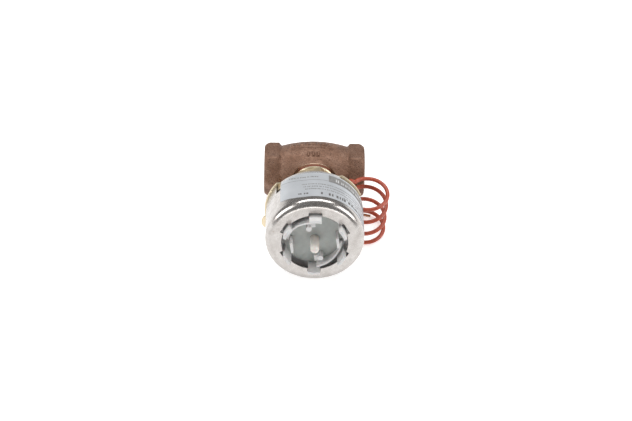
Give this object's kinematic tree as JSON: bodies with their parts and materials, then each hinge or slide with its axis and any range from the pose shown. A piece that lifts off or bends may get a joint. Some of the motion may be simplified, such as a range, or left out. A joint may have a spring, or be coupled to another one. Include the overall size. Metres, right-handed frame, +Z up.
{
  "type": "heat-motor zone valve",
  "caption": "Two-way hydronic zone valve: bronze globe body with tapped ports, brass bonnet and a heat motor in a round metal can, with a coiled lead.",
  "frame": {"origin": "centre of the inlet port's mouth, on the port axis", "axes": "+X runs from the inlet port to the outlet port; +Z is up as the valve rests on a bench on its belly, its can's rear rim and the lead's coil; the stem points towards -Y and upwards, leaning 14.1 degrees from level"},
  "size_m": [0.0707, 0.0922, 0.0582],
  "materials": {
    "bronze": "sand-cast",
    "brass": "machined",
    "plate_brass": "stamped",
    "fibre": "matte",
    "rubber": "matte",
    "can_metal": "satin",
    "label": "satin foil",
    "nylon_white": "moulded",
    "nylon_grey": "moulded",
    "nylon_pin": "moulded",
    "phenolic": "moulded",
    "ceramic": "matte",
    "steel": "plated",
    "lead": "silicone",
    "copper": "stranded"
  },
  "bodies": {
    "valve": {"valve_body": "bronze", "valve_seat": "brass", "bonnet_gasket": "fibre", "bonnet": "brass", "stem_seals": "rubber", "gland_nut": "brass", "lock_nut": "brass", "base_plate": "plate_brass", "actuator_can": "can_metal", "label": "label", "finger_ring": "nylon_white", "window_disc": "nylon_grey", "guide_pegs": "nylon_white", "saddle": "phenolic", "saddle_rivets": "brass", "wax_capsule": "brass", "heater_sleeve": "ceramic", "terminal_block": "phenolic", "terminals": "brass", "return_spring": "steel", "lead_grommet": "rubber", "lead_tube": "lead", "lead_coil": "lead", "lead_end": "copper"},
    "lift_train": {"valve_stem": "steel", "stem_yoke": "steel", "pull_rods": "steel", "lift_cup": "steel", "indicator_pin": "nylon_pin"},
    "motor_piston": {"piston": "steel"},
    "plug": {"disc_holder": "brass", "seat_disc": "rubber", "disc_screw": "steel"}
  },
  "joints": [
    {"name": "stem_lift", "type": "slide", "parent": "valve", "child": "lift_train", "axis": [0, -0.9699, 0.2435], "range_m": [0, 0.0028], "stiffness_N_per_m": 1200, "springref_m": -0.02, "deforming": ["return_spring"]},
    {"name": "piston_push", "type": "slide", "parent": "valve", "child": "motor_piston", "axis": [0, -0.9699, 0.2435], "range_m": [0, 0.0028]},
    {"name": "plug_swivel", "type": "hinge", "parent": "lift_train", "child": "plug", "pos_m": [0.02857, 0, 0], "axis": [0, -0.9699, 0.2435], "continuous": true}
  ],
  "couplings": [
    {"joint": "piston_push", "follows": "stem_lift", "ratio": 1}
  ]
}
